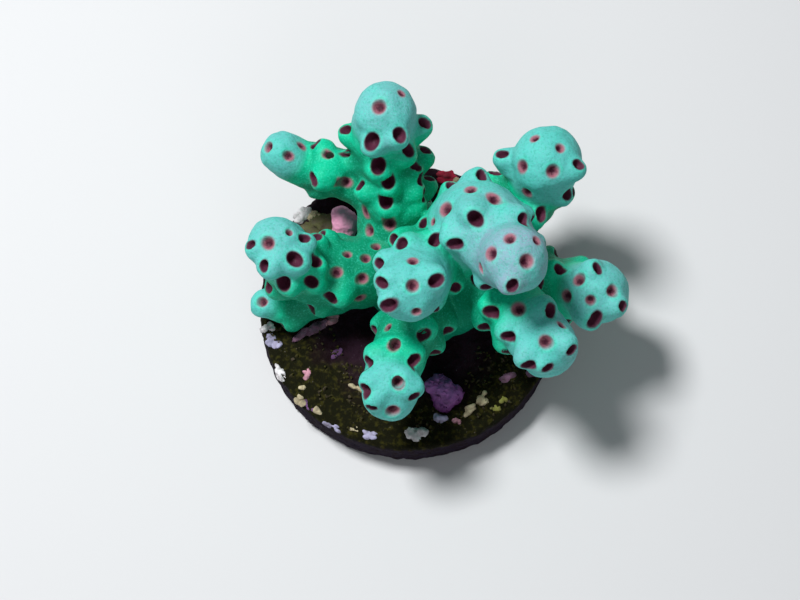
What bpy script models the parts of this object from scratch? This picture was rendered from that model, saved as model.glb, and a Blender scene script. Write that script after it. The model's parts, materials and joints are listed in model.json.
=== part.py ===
"""Branching coral frag grown on a round frag disc. Metres, +Z up, origin under the disc."""

import math

import bmesh
import bpy
from mathutils import Matrix
from mathutils import Vector

MM = 0.001

# Frag disc: the plate that the coral grew on, resting flat on its underside.
DISC_RADIUS = 15.9
DISC_THICK = 5.0
DISC_EDGE = 0.7
GROWTH_GAP = 0.3

# Each limb runs from the trunk to the middle of its round tip: x, y, z and radius in mm.
LIMBS = {
    "back_limb": [
        (-1.5, 5.0, 7.5, 4.0), (-2.0, 9.0, 11.5, 3.4), (-2.6, 12.8, 16.5, 3.4), (-2.5, 14.3, 23.0, 3.1)],
    "back_left_limb": [
        (-2.4, 9.5, 11.5, 2.6), (-6.8, 11.6, 12.8, 2.5), (-11.1, 12.5, 13.9, 2.4), (-13.1, 12.9, 15.6, 2.2)],
    "left_limb": [
        (-1.5, 3.5, 7.5, 4.0), (-6.2, 1.8, 10.0, 3.6), (-11.0, 1.2, 13.0, 3.2), (-13.4, 2.0, 18.0, 2.9)],
    "low_left_limb": [
        (-8.0, 0.2, 8.6, 2.5), (-12.5, -0.9, 7.7, 1.9), (-15.2, -1.2, 8.8, 1.4)],
    "mid_left_limb": [
        (3.0, 3.0, 8.0, 4.2), (2.6, 2.4, 13.5, 3.6), (1.4, 0.0, 17.6, 3.4), (-0.1, -4.1, 22.7, 3.25)],
    "mid_right_limb": [
        (4.0, 3.0, 8.0, 4.6), (5.4, 4.2, 15.0, 4.3), (7.0, 3.4, 20.6, 4.2), (9.4, -0.6, 23.2, 3.5),
        (10.1, -2.6, 26.8, 3.2)],
    "back_right_limb": [
        (5.5, 4.5, 8.5, 3.6), (9.6, 6.6, 11.6, 3.2), (12.8, 9.4, 15.6, 3.2), (13.8, 10.1, 20.5, 3.5)],
    "right_limb": [
        (6.5, 2.5, 7.8, 3.4), (12.0, 2.0, 8.6, 2.7), (16.4, -0.1, 10.2, 2.9), (19.1, -1.5, 13.6, 3.2)],
    "front_right_limb": [
        (5.0, 2.0, 7.8, 3.6), (9.2, -1.4, 12.6, 3.1), (12.3, -6.3, 16.4, 3.2), (13.5, -8.5, 17.8, 3.1)],
    "front_limb": [
        (2.0, 1.0, 7.5, 3.6), (0.3, -4.0, 11.5, 3.1), (-1.4, -9.0, 14.0, 2.8), (-2.0, -12.4, 14.8, 2.8)],
}

# Mouths (corallites) in sight from in front of straight above. In mm: right of the disc's
# middle, up from it in that view, radius of the mouth, and how far its lip stands proud.
SIGHT_TILT = 72.0
MOUTHS = {
    "back_limb": [
        (-3.1, 21.1, 0.70, 0.3), (-0.9, 18.1, 0.65, 1.0), (-3.9, 17.5, 0.75, 1.7), (1.1, 19.8, 0.60, 1.6),
        (-6.6, 19.3, 0.50, 1.3), (-6.6, 17.1, 0.50, 0.9), (-0.6, 22.9, 0.45, 0.6), (-0.1, 16.9, 0.60, 1.5),
        (1.6, 17.4, 0.50, 1.5), (0.8, 15.7, 0.60, 1.6), (1.9, 14.6, 0.50, 1.6), (-3.2, 15.3, 0.75, 1.6),
        (-2.2, 13.9, 0.70, 1.0), (0.9, 14.0, 0.50, 1.1), (-5.2, 13.6, 0.45, 0.9), (-2.4, 11.9, 0.70, 0.7),
        (1.1, 12.4, 0.50, 1.1), (-5.2, 11.4, 0.50, 0.6), (-2.1, 9.9, 0.65, 0.4), (-4.4, 9.3, 0.55, 0.4)],
    "back_left_limb": [
        (-14.7, 17.7, 0.55, 0.3), (-12.5, 16.7, 0.50, 0.4), (-11.1, 18.3, 0.45, 0.5), (-9.8, 14.2, 0.65, 1.6),
        (-9.6, 18.2, 0.50, 1.2), (-8.1, 16.5, 0.50, 0.5), (-6.9, 14.1, 0.55, 0.5)],
    "left_limb": [
        (-14.2, 7.7, 0.65, 0.3), (-11.3, 5.9, 0.70, 1.1), (-14.5, 5.2, 0.50, 1.0), (-12.6, 3.6, 0.75, 1.8),
        (-9.8, 3.7, 0.60, 1.2), (-9.4, 5.8, 0.60, 1.0), (-10.4, 8.2, 0.50, 1.4), (-15.9, 7.6, 0.55, 0.9),
        (-12.0, 8.8, 0.35, 0.2), (-7.5, 4.8, 0.55, 0.3), (-7.9, 2.1, 0.60, 0.7), (-6.5, 6.8, 0.40, 0.3),
        (-4.6, 6.3, 0.45, 0.2), (-4.9, 4.1, 0.55, 0.3), (-3.6, 7.6, 0.40, 0.2), (-5.4, 1.7, 0.45, 0.6)],
    "low_left_limb": [
        (-15.4, 1.8, 0.50, 0.2), (-13.2, -0.4, 0.40, 0.8)],
    "mid_left_limb": [
        (0.2, 3.3, 0.60, 0.2), (0.2, 6.0, 0.55, 0.4), (-3.0, 3.7, 0.55, 0.8), (-2.4, 1.2, 0.70, 1.0),
        (0.6, 0.5, 0.50, 0.5), (2.7, 3.9, 0.65, 0.8), (2.5, 8.0, 0.60, 0.8), (-0.8, 7.6, 0.60, 1.0),
        (-2.7, 5.4, 0.50, 0.9), (1.4, 9.7, 0.50, 1.0), (2.7, 1.0, 0.50, 1.0)],
    "mid_right_limb": [
        (11.1, 5.6, 0.70, 0.2), (7.4, 6.4, 0.70, 0.5), (9.4, 8.0, 0.60, 0.5), (4.2, 7.4, 0.65, 1.0),
        (3.3, 11.0, 0.75, 0.5), (6.2, 10.0, 0.70, 0.7), (8.4, 12.0, 0.70, 0.5), (6.0, 13.1, 0.60, 0.6),
        (7.0, 4.0, 0.70, 1.4), (11.0, 9.9, 0.55, 0.7), (12.3, 7.8, 0.50, 0.5), (9.6, 3.2, 0.55, 0.7),
        (2.0, 9.9, 0.40, 0.6), (13.1, 4.4, 0.50, 0.4)],
    "back_right_limb": [
        (14.2, 14.7, 0.65, 0.2), (10.9, 15.3, 0.65, 0.5), (15.0, 17.2, 0.50, 0.4), (12.3, 18.4, 0.50, 0.6),
        (10.1, 16.5, 0.50, 1.8), (9.1, 14.8, 0.55, 1.4), (17.0, 15.4, 0.50, 0.7), (15.8, 12.6, 0.60, 1.6),
        (11.5, 12.5, 0.60, 0.6), (13.3, 10.5, 0.65, 1.3)],
    "right_limb": [
        (20.5, 2.9, 0.60, 0.3), (17.0, 4.1, 0.60, 0.4), (18.2, 1.9, 0.50, 0.3), (18.8, 5.3, 0.50, 0.7),
        (18.5, -0.2, 0.75, 1.5), (15.7, 2.3, 0.65, 0.5), (15.2, 5.2, 0.50, 1.0), (21.6, 1.2, 0.50, 0.9)],
    "front_right_limb": [
        (13.3, -2.2, 0.65, 0.3), (10.7, 1.1, 0.70, 0.5), (13.8, 1.1, 0.60, 0.8), (7.9, 0.7, 0.70, 1.2),
        (9.5, -1.7, 0.60, 1.4), (11.4, -4.6, 0.60, 0.9), (16.0, -2.9, 0.50, 1.1), (15.2, -0.4, 0.40, 0.6),
        (13.4, -5.0, 0.50, 0.8)],
    "front_limb": [
        (-1.7, -9.3, 0.70, 0.3), (-1.2, -6.1, 0.60, 0.3), (-1.5, -2.5, 0.60, 0.3), (-4.1, -4.1, 0.60, 1.1),
        (-4.5, -6.8, 0.60, 1.3), (0.5, -3.9, 0.60, 0.7), (1.5, -1.4, 0.60, 1.1), (-2.4, -0.8, 0.35, 0.3),
        (0.6, -7.6, 0.50, 0.7), (-4.0, -8.7, 0.45, 0.9)],
}

# The sides that face away carry mouths in staggered rows.
ROW_STEP = 3.2
HIDDEN_RADIUS = 0.55
HIDDEN_LIP = 0.9
LEAST_APART = 2.6
LOWEST_MOUTH = 7.4
WALL = 0.55
RIM = 0.28
LEAN = 0.9
MOUTH_DEEP = 0.9
MOUTH_CLEAR = 0.8

# Saw cuts that part the colony at its forks: share of the way along the limb, radius of the cut.
KERF = 0.3
CUTS = {
    "back_limb": (0.66, 5.6),
    "back_left_limb": (0.60, 6.0),
    "back_right_limb": (0.58, 5.2),
    "right_limb": (0.60, 4.8),
    "front_right_limb": (0.56, 5.0),
    "front_limb": (0.50, 5.4),
}
DISC_CUTS = [
    ((-7.7, 1.2, 10.0), (-0.92, -0.1, 0.38), 6.4),
    ((-11.8, -1.5, 8.0), (-1.0, -0.25, 0.0), 3.9),
    ((3.9, 2.6, 16.5), (0.0, 0.0, 1.0), 8.4),
]
CREASE_CUT = ((3.9, 1.8, 21.8), (-0.9, -0.43, 0.0), (15.0, KERF, 11.0))

TRUNK_BEADS = [(0.6, 3.6, 8.6, 4.3), (3.4, 2.6, 8.8, 4.5), (1.2, 5.6, 8.2, 3.8), (4.6, 4.2, 8.2, 3.8)]
FOOT_BEADS = [
    (0.8, 3.2, 5.4, 5.6), (3.6, 1.6, 5.4, 5.2), (-1.2, 5.2, 5.2, 3.8), (4.2, 5.2, 5.2, 4.8), (1.4, -0.4, 5.0, 4.4)]

# Grain of the voxel skin, smoothing, and share of its faces kept.
VOXEL = 0.42
SMOOTH_PASSES = 4
KEEP = 0.052
MOUTH_SIDES = 6

PINK_KNOB = [(-6.9, 8.0, 6.0, 1.4), (-6.9, 8.6, 6.8, 1.5), (-7.3, 9.2, 7.2, 1.1)]
PURPLE_KNOB = [(3.4, -9.8, 6.0, 1.5), (2.4, -9.4, 6.4, 1.0), (4.5, -10.2, 6.0, 1.2), (3.0, -8.9, 6.5, 0.9),
               (3.6, -10.9, 5.6, 1.2)]


def clear_scene():
    for item in list(bpy.data.objects):
        bpy.data.objects.remove(item, do_unlink=True)


def make_collection(name):
    group = bpy.data.collections.new(name)
    bpy.context.scene.collection.children.link(group)
    return group


def make_material(name, colour, rough):
    material = bpy.data.materials.new(name)
    material.use_nodes = True
    shader = material.node_tree.nodes["Principled BSDF"]
    shader.inputs["Base Color"].default_value = (*colour, 1.0)
    shader.inputs["Roughness"].default_value = rough
    return material


def smooth_route(stops, steps=9):
    """Catmull-Rom line through the stops, as (centre, radius) pairs."""
    stops = [Vector(stop) for stop in stops]
    ends = [stops[0] * 2 - stops[1], *stops, stops[-1] * 2 - stops[-2]]
    line = []
    for a, b, c, d in zip(ends, ends[1:], ends[2:], ends[3:]):
        for step in range(steps):
            t = step / steps
            line.append(0.5 * (b * 2 + (c - a) * t + (a * 2 - b * 5 + c * 4 - d) * t * t
                               + (b * 3 - a - c * 3 + d) * t * t * t))
    line.append(stops[-1])
    return [(point.to_3d(), point.w) for point in line]


def tangent(line, index):
    low = max(index - 1, 0)
    high = min(index + 1, len(line) - 1)
    return (line[high][0] - line[low][0]).normalized()


def bead(bm, centre, radius, fine=2):
    """One round bead of the skin. Beads overlap and are fused later."""
    place = Matrix.Translation(Vector(centre) * MM)
    ball = bmesh.new()
    bmesh.ops.create_icosphere(ball, subdivisions=fine, radius=radius * MM, matrix=place)
    mesh = bpy.data.meshes.new("bead")
    ball.to_mesh(mesh)
    ball.free()
    bm.from_mesh(mesh)
    bpy.data.meshes.remove(mesh)


def seen_spot(line, right, up):
    """Where a point of the tilted view meets a limb: spot, outward normal, tip direction, lift."""
    tilt = math.radians(SIGHT_TILT)
    toward = Vector((0.0, -math.cos(tilt), math.sin(tilt)))
    start = Vector((right, up * math.sin(tilt), up * math.cos(tilt)))
    best = None
    nearest = None
    for index, (centre, radius) in enumerate(line):
        offset = centre - start
        along = offset.dot(toward)
        aside = (offset - toward * along).length
        if aside < radius:
            height = along + math.sqrt(radius * radius - aside * aside)
            if best is None or height > best[0]:
                best = (height, index)
        if nearest is None or aside - radius < nearest[0]:
            nearest = (aside - radius, index, along)
    if best:
        spot = start + toward * best[0]
        index = best[1]
        return spot, (spot - line[index][0]).normalized(), tangent(line, index), toward
    gap, index, along = nearest
    spot = start + toward * along
    normal = (spot - line[index][0]).normalized()
    return spot - normal * gap, normal, tangent(line, index), None


def open_mouth(line, right, up, radius, lip):
    """Mouth seen in the view: its opening, skin normal, tip direction, radius and lip."""
    spot, normal, tip, toward = seen_spot(line, right, up)
    if toward is None:
        opening = spot + normal * (lip * 0.7)
    else:
        opening = spot + toward * min(lip * 0.8 / max(normal.dot(toward), 0.3), 1.6)
    return opening, normal, tip, radius, lip


def depth_inside(point, lines, skip):
    """How far a point lies inside the nearest other limb."""
    deepest = -100.0
    for name, line in lines.items():
        if name == skip:
            continue
        for centre, radius in line:
            deepest = max(deepest, radius - (point - centre).length)
    return deepest


def hidden_mouths(name, lines, taken):
    """Staggered rows of mouths on the sides that face away from the tilted view."""
    tilt = math.radians(SIGHT_TILT)
    toward = Vector((0.0, -math.cos(tilt), math.sin(tilt)))
    line = lines[name]
    found = []
    travelled = 0.0
    row = 0
    for index in range(len(line) - 1, 0, -1):
        centre, radius = line[index]
        travelled += (line[index - 1][0] - centre).length
        if travelled < ROW_STEP * (row + 0.35):
            continue
        row += 1
        tip = tangent(line, index)
        side = tip.orthogonal().normalized()
        count = max(4, round(2 * math.pi * radius / 3.5))
        for turn in range(count):
            angle = 2 * math.pi * (turn + 0.5 * (row % 2)) / count
            normal = Matrix.Rotation(angle, 3, tip) @ side
            spot = centre + normal * radius
            if normal.dot(toward) > 0.22 or spot.z < LOWEST_MOUTH:
                continue
            if depth_inside(spot + normal * 1.2, lines, name) > -1.2:
                continue
            if any((spot - other).length < LEAST_APART for other in taken):
                continue
            taken.append(spot)
            opening = spot + normal * (HIDDEN_LIP * 0.7)
            found.append((opening, normal, tip, HIDDEN_RADIUS, HIDDEN_LIP))
    return found


def mouth_axis(normal, tip):
    return (normal * 0.75 + tip * LEAN * 0.75).normalized()


def mound(bm, opening, normal, tip, radius, lip):
    """Short cup that leans toward the limb's tip, thicker where it leaves the limb."""
    axis = mouth_axis(normal, tip)
    foot = opening - normal * (lip + 1.0) - tip * (0.5 + 0.7 * lip)
    crown = opening - axis * math.sqrt((radius + WALL) ** 2 - (radius + RIM) ** 2)
    for step in range(4):
        share = step / 3
        bead(bm, foot.lerp(crown, share), radius + WALL + 0.35 * (1 - share))


def pit(bm, opening, normal, tip, radius):
    """Tapered plug that hollows one mouth."""
    axis = mouth_axis(normal, tip)
    deep = MOUTH_DEEP + MOUTH_CLEAR
    middle = opening - axis * (MOUTH_DEEP - deep / 2)
    turn = axis.to_track_quat("Z", "Y").to_matrix().to_4x4()
    place = Matrix.Translation(middle * MM) @ turn
    bmesh.ops.create_cone(
        bm, cap_ends=True, segments=MOUTH_SIDES, radius1=radius * 0.6 * MM, radius2=radius * 1.05 * MM,
        depth=deep * MM, matrix=place)


def mesh_object(name, bm, group):
    mesh = bpy.data.meshes.new(name)
    bm.to_mesh(mesh)
    bm.free()
    item = bpy.data.objects.new(name, mesh)
    group.objects.link(item)
    return item


def bake(item):
    """Turns the object's modifiers into its mesh."""
    graph = bpy.context.evaluated_depsgraph_get()
    graph.update()
    mesh = bpy.data.meshes.new_from_object(item.evaluated_get(graph))
    item.modifiers.clear()
    item.data = mesh


def fuse(item, voxel, passes, keep):
    """Fuses overlapping beads into one skin, smooths it and thins its faces."""
    remesh = item.modifiers.new("Fuse", "REMESH")
    remesh.mode = "VOXEL"
    remesh.voxel_size = voxel * MM
    smooth = item.modifiers.new("Smooth", "SMOOTH")
    smooth.factor = 0.5
    smooth.iterations = passes
    thin = item.modifiers.new("Thin", "DECIMATE")
    thin.ratio = keep
    bake(item)


def subtract(item, cutter, solver="MANIFOLD"):
    cut = item.modifiers.new("Cut", "BOOLEAN")
    cut.operation = "DIFFERENCE"
    cut.object = cutter
    cut.solver = solver
    bake(item)
    bpy.data.objects.remove(cutter, do_unlink=True)


def saw_disc(bm, centre, normal, radius):
    turn = Vector(normal).to_track_quat("Z", "Y").to_matrix().to_4x4()
    place = Matrix.Translation(Vector(centre) * MM) @ turn
    bmesh.ops.create_cone(
        bm, cap_ends=True, segments=20, radius1=radius * MM, radius2=radius * MM, depth=KERF * MM,
        matrix=place)


def saw_box(bm, centre, normal, size):
    turn = Vector(normal).to_track_quat("Y", "Z").to_matrix().to_4x4()
    place = Matrix.Translation(Vector(centre) * MM) @ turn @ Matrix.Diagonal((*size, 1.0))
    bmesh.ops.create_cube(bm, size=1.0 * MM, matrix=place)


def along_limb(line, share):
    """Point and direction at a share of the limb's length."""
    steps = [(b[0] - a[0]).length for a, b in zip(line, line[1:])]
    goal = share * sum(steps)
    for index, step in enumerate(steps):
        if goal <= step:
            return line[index][0].lerp(line[index + 1][0], goal / step), tangent(line, index)
        goal -= step
    return line[-1][0], tangent(line, len(line) - 1)


def coral_lines():
    return {name: smooth_route(stops) for name, stops in LIMBS.items()}


def coral_mouths(lines):
    """The mouths in sight, and those on the sides that face away."""
    seen = []
    for name, rows in MOUTHS.items():
        seen += [open_mouth(lines[name], *row) for row in rows]
    taken = [opening - normal * lip * 0.7 for opening, normal, _, _, lip in seen]
    hidden = []
    for name in lines:
        hidden += hidden_mouths(name, lines, taken)
    return seen, hidden


def coral_colony(group):
    """The whole colony as one fused body, with the mouths in sight hollowed."""
    lines = coral_lines()
    seen, hidden = coral_mouths(lines)
    bm = bmesh.new()
    for line in lines.values():
        for centre, radius in line:
            bead(bm, centre, radius, 3)
    for x, y, z, radius in TRUNK_BEADS + FOOT_BEADS:
        bead(bm, (x, y, z), radius, 3)
    for opening, normal, tip, radius, lip in seen + hidden:
        mound(bm, opening, normal, tip, radius, lip)
    colony = mesh_object("colony", bm, group)
    fuse(colony, VOXEL, SMOOTH_PASSES, KEEP)
    plugs = bmesh.new()
    for opening, normal, tip, radius, _ in seen:
        pit(plugs, opening, normal, tip, radius)
    subtract(colony, mesh_object("plugs", plugs, group))
    return colony, lines


def saw(colony, group, shape, *sizes):
    cutter = bmesh.new()
    shape(cutter, *sizes)
    subtract(colony, mesh_object("saw", cutter, group))


def part_at_forks(colony, lines, group):
    """Saws the colony at its forks, one cut after another."""
    for name, (share, radius) in CUTS.items():
        centre, direction = along_limb(lines[name], share)
        saw(colony, group, saw_disc, centre, direction, radius)
    for cut in DISC_CUTS:
        saw(colony, group, saw_disc, *cut)
    saw(colony, group, saw_box, *CREASE_CUT)


def flatten_base(item, group):
    """Cuts the underside flat, a hair above the disc."""
    top = DISC_THICK + GROWTH_GAP
    saw(item, group, saw_box, (0.0, 0.0, top - 5.0), (0.0, 1.0, 0.0), (60.0, 60.0, 10.0))


def loose_parts(item):
    """Splits a mesh object into one bmesh per connected part."""
    whole = bmesh.new()
    whole.from_mesh(item.data)
    whole.verts.ensure_lookup_table()
    seen = set()
    parts = []
    for start in whole.verts:
        if start.index in seen:
            continue
        stack = [start]
        seen.add(start.index)
        island = []
        while stack:
            vert = stack.pop()
            island.append(vert.index)
            for edge in vert.link_edges:
                other = edge.other_vert(vert)
                if other.index not in seen:
                    seen.add(other.index)
                    stack.append(other)
        parts.append(set(island))
    pieces = []
    for island in parts:
        piece = whole.copy()
        piece.verts.ensure_lookup_table()
        bmesh.ops.delete(
            piece, geom=[vert for vert in piece.verts if vert.index not in island], context="VERTS")
        pieces.append(piece)
    whole.free()
    return pieces


def owner_of(piece, lines):
    """Name of the limb whose outer half this part holds, or the trunk."""
    middle = Vector()
    for vert in piece.verts:
        middle += vert.co
    middle /= len(piece.verts) * MM
    best = ("trunk", (middle - Vector((2.0, 3.5, 9.0))).length)
    for name, line in lines.items():
        for centre, _ in line[len(line) // 2:]:
            gap = (middle - centre).length
            if gap < best[1]:
                best = (name, gap)
    return best[0]


def coral(group):
    colony, lines = coral_colony(group)
    part_at_forks(colony, lines, group)
    flatten_base(colony, group)
    for piece in loose_parts(colony):
        if piece.calc_volume() < 2.0 * MM ** 3:
            piece.free()
            continue
        name = owner_of(piece, lines)
        item = mesh_object(name, piece, group)
        shade = (0.03, 0.42, 0.26) if name == "trunk" else (0.07, 0.62, 0.42)
        item.data.materials.clear()
        item.data.materials.append(make_material(name + "_skin", shade, 0.5))
    bpy.data.objects.remove(colony, do_unlink=True)


def frag_disc(group):
    bm = bmesh.new()
    place = Matrix.Translation((0.0, 0.0, DISC_THICK / 2 * MM))
    bmesh.ops.create_cone(
        bm, cap_ends=True, segments=56, radius1=DISC_RADIUS * MM, radius2=DISC_RADIUS * MM,
        depth=DISC_THICK * MM, matrix=place)
    item = mesh_object("frag_disc", bm, group)
    edge = item.modifiers.new("Rim", "BEVEL")
    edge.width = DISC_EDGE * MM
    edge.segments = 2
    edge.limit_method = "ANGLE"
    item.data.materials.append(make_material("disc_stone", (0.09, 0.07, 0.06), 0.85))


def knob(name, beads, colour, group):
    bm = bmesh.new()
    for x, y, z, radius in beads:
        bead(bm, (x, y, z), radius, 3)
    item = mesh_object(name, bm, group)
    fuse(item, 0.3, 2, 0.2)
    flatten_base(item, group)
    item.data.materials.clear()
    item.data.materials.append(make_material(name + "_crust", colour, 0.6))


def build():
    clear_scene()
    group = make_collection("coral_frag")
    frag_disc(group)
    knob("pink_knob", PINK_KNOB, (0.62, 0.28, 0.42), group)
    knob("purple_knob", PURPLE_KNOB, (0.30, 0.12, 0.36), group)
    coral(group)


build()
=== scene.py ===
"""A branching coral frag on its frag disc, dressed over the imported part. Sizes are in mm."""

import json
import math

import bmesh
import bpy
import numpy as np
from mathutils import Matrix
from mathutils import Vector
from mathutils import noise

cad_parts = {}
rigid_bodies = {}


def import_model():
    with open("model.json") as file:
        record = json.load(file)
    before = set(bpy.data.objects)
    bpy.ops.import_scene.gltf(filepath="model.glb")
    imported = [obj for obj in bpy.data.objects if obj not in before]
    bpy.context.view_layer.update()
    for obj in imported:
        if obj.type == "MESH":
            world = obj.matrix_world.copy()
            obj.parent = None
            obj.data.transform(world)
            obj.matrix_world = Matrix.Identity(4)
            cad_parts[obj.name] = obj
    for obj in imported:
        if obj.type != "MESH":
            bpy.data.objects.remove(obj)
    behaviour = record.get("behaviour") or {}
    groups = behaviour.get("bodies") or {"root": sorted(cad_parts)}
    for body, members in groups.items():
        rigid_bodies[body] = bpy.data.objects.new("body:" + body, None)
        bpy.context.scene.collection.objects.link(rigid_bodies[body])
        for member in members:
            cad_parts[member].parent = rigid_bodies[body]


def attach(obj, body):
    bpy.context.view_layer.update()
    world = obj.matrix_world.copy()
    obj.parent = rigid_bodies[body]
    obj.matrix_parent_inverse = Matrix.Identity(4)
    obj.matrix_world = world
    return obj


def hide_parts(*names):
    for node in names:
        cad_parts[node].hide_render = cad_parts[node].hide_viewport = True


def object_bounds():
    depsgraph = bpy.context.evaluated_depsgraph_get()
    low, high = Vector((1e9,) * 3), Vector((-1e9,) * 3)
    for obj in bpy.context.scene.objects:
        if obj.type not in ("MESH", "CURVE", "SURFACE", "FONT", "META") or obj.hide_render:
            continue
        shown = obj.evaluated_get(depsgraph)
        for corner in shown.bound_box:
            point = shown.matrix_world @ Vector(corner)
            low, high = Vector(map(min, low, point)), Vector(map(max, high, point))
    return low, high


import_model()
cad_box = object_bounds()

# The frag disc is a fired stone plate that the coral was glued to, flat underneath. Its top is
# pitted and overgrown: dark maroon crust round the coral, olive turf towards the front rim, and
# a thin purple crust down the side.
MM = 0.001
DISC_RADIUS = 15.9
DISC_THICK = 5.0
DISC_EDGE = 0.7
DISC_HEEL = 0.4
DISC_SPOKES = 320
DISC_RELIEF = 0.22
RIM_NIBBLE = 0.28

CRUST_MAROON = (0.010, 0.003, 0.005, 1)
CRUST_PLUM = (0.022, 0.008, 0.017, 1)
TURF_OLIVE = (0.006, 0.006, 0.001, 1)
TURF_YELLOW = (0.032, 0.029, 0.004, 1)
SIDE_PURPLE = (0.014, 0.008, 0.020, 1)


class Wire:
    """The output of a shader node. Sums and products of wires add the Math nodes."""

    def __init__(self, socket):
        self.socket = socket
        self.tree = socket.id_data

    def math(self, operation, *values, clamp=False):
        return node(self.tree, "ShaderNodeMath", dict(enumerate([self, *values])),
                    operation=operation, use_clamp=clamp)

    def __add__(self, other):
        return self.math("ADD", other)

    def __sub__(self, other):
        return self.math("SUBTRACT", other)

    def __rsub__(self, other):
        return node(self.tree, "ShaderNodeMath", {0: other, 1: self}, operation="SUBTRACT")

    def __mul__(self, other):
        return self.math("MULTIPLY", other)

    def __truediv__(self, other):
        return self.math("DIVIDE", other)

    __radd__ = __add__
    __rmul__ = __mul__


def node(tree, kind, sockets=(), output=0, stops=(), **settings):
    """Adds a shader node: its settings first, then its sockets. Gives one of its outputs."""
    made = tree.nodes.new(kind)
    for name, value in settings.items():
        setattr(made, name, value)
    for index, (position, colour) in enumerate(stops):
        ramp = made.color_ramp.elements
        stop = ramp[index] if index < 2 else ramp.new(position)
        stop.position = position
        stop.color = colour
    for name, value in dict(sockets).items():
        if isinstance(value, Wire):
            tree.links.new(value.socket, made.inputs[name])
        else:
            made.inputs[name].default_value = value
    return Wire(made.outputs[output])


def mix(share, first, second):
    """Colour that goes from the first to the second as the share goes from 0 to 1."""
    return node(share.tree, "ShaderNodeMix", {0: share, 6: first, 7: second}, output=2,
                data_type="RGBA")


def between(wire, low, high):
    """0 below the low value, 1 above the high one, smooth in between."""
    return node(wire.tree, "ShaderNodeMapRange", {0: wire, 1: low, 2: high},
                interpolation_type="SMOOTHSTEP")


def grain(tree, spot, per_mm, detail=2.0, rough=0.55):
    return node(tree, "ShaderNodeTexNoise",
                {"Vector": spot, "Scale": per_mm / MM, "Detail": detail, "Roughness": rough})


def finish_of(name, rough, **constants):
    """A new material, with its tree and its main shader."""
    material = bpy.data.materials.new(name)
    material.use_nodes = True
    shader = material.node_tree.nodes["Principled BSDF"]
    shader.inputs["Roughness"].default_value = rough
    for socket, value in constants.items():
        shader.inputs[socket.replace("_", " ")].default_value = value
    return material, material.node_tree, shader


def feed(shader, socket, wire):
    wire.tree.links.new(wire.socket, shader.inputs[socket])


def axes_of(spot):
    """The x, y and z of a wire that carries a vector."""
    parts = spot.tree.nodes.new("ShaderNodeSeparateXYZ")
    spot.tree.links.new(spot.socket, parts.inputs[0])
    return [Wire(parts.outputs[index]) for index in range(3)]


def bumps(shader, height, strength, depth_mm):
    feed(shader, "Normal", node(height.tree, "ShaderNodeBump",
                                {"Height": height, "Strength": strength, "Distance": depth_mm * MM}))


def piece(name, bm):
    mesh = bpy.data.meshes.new(name)
    bm.to_mesh(mesh)
    bm.free()
    item = bpy.data.objects.new(name, mesh)
    bpy.context.scene.collection.objects.link(item)
    return item


def smoothly(item, degrees=60):
    item.data.shade_smooth()
    item.data.set_sharp_from_angle(angle=math.radians(degrees))


def turned_disc():
    """The plate as a turned profile, from the middle of its top round to the middle below."""
    bm = bmesh.new()
    profile = [(0.25 * step, DISC_THICK) for step in range(61)]
    profile += [(DISC_RADIUS - DISC_EDGE + DISC_EDGE * math.sin(turn), DISC_THICK - DISC_EDGE
                 + DISC_EDGE * math.cos(turn)) for turn in np.linspace(0.2, math.pi / 2, 6)]
    profile += [(DISC_RADIUS, height) for height in np.linspace(4.1, 0.6, 14)]
    profile += [(DISC_RADIUS - DISC_HEEL, 0.0)]
    profile += [(radius, 0.0) for radius in (15.0, 12.0, 8.0, 4.0, 0.0)]
    line = [bm.verts.new((radius * MM, 0.0, height * MM)) for radius, height in profile]
    edges = [bm.edges.new(pair) for pair in zip(line, line[1:])]
    bmesh.ops.spin(bm, geom=line + edges, cent=(0, 0, 0), axis=(0, 0, 1), angle=2 * math.pi,
                   steps=DISC_SPOKES, use_merge=True)
    bmesh.ops.remove_doubles(bm, verts=bm.verts, dist=0.002 * MM)
    bmesh.ops.recalc_face_normals(bm, faces=bm.faces)
    return bm


def weather_disc(bm):
    """Crust and pitting: the top goes up and down, the rim and the side only go in."""
    for vert in bm.verts:
        spot = vert.co / MM
        reach = math.hypot(spot.x, spot.y)
        if spot.z < 0.3:
            continue
        swell = noise.noise(spot * 0.45) + 0.6 * noise.noise(spot * 1.3) + 0.35 * noise.noise(spot * 3.1)
        if spot.z > DISC_THICK - DISC_EDGE:
            turf = max(0.0, min(1.0, (reach - 8.0) / 3.0))
            swell += turf * 0.8 * abs(noise.noise(spot * 4.3))
            vert.co.z += (DISC_RELIEF * swell - 0.08) * MM * min(1.0, (16.4 - reach) / 1.2)
        if reach > DISC_RADIUS - 2.0:
            bite = RIM_NIBBLE * (0.5 + 0.5 * noise.noise(spot * 0.9) + 0.4 * noise.noise(spot * 2.6))
            share = min(1.0, (reach - DISC_RADIUS + 2.0) / 1.6) * max(bite, 0.0)
            vert.co.x -= spot.x / reach * share * MM
            vert.co.y -= spot.y / reach * share * MM


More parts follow.
